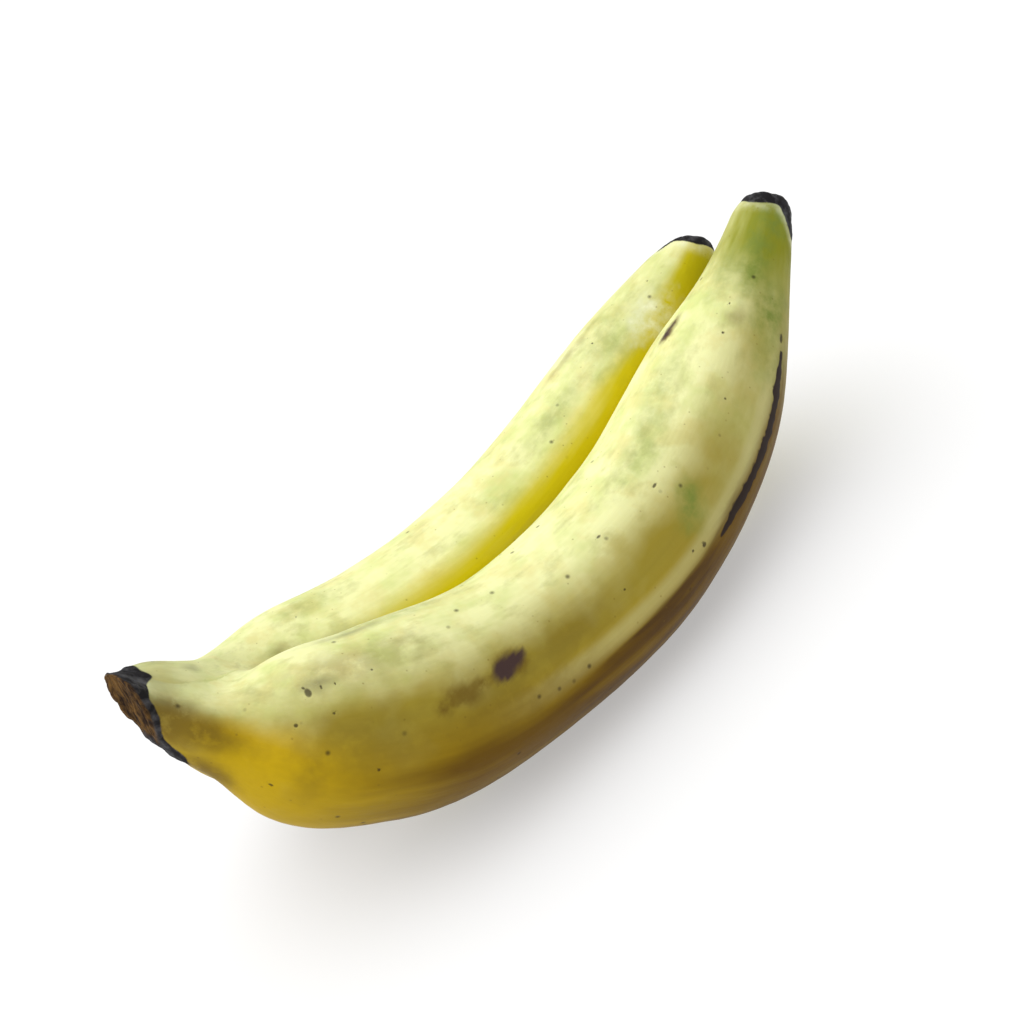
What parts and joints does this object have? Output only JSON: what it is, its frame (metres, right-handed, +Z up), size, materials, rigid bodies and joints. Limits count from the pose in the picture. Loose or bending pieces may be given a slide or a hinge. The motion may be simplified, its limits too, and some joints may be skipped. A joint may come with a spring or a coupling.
{
  "type": "pair of plantains on one crown",
  "caption": "Half-ripe plantain fingers joined at a cut crown, curved side by side, lying on their rounded bellies.",
  "frame": {"origin": "on the surface that the pair rests on, under the middle of its bounding box", "axes": "+X along the fingers from the cut crown to the tips, +Z up, +Y from the front finger to the rear finger"},
  "size_m": [0.2398, 0.1018, 0.0867],
  "materials": {
    "plantain_skin": "satin waxy peel, pale yellow-green"
  },
  "bodies": {
    "root": {"plantain_pair": "plantain_skin"}
  },
  "joints": []
}
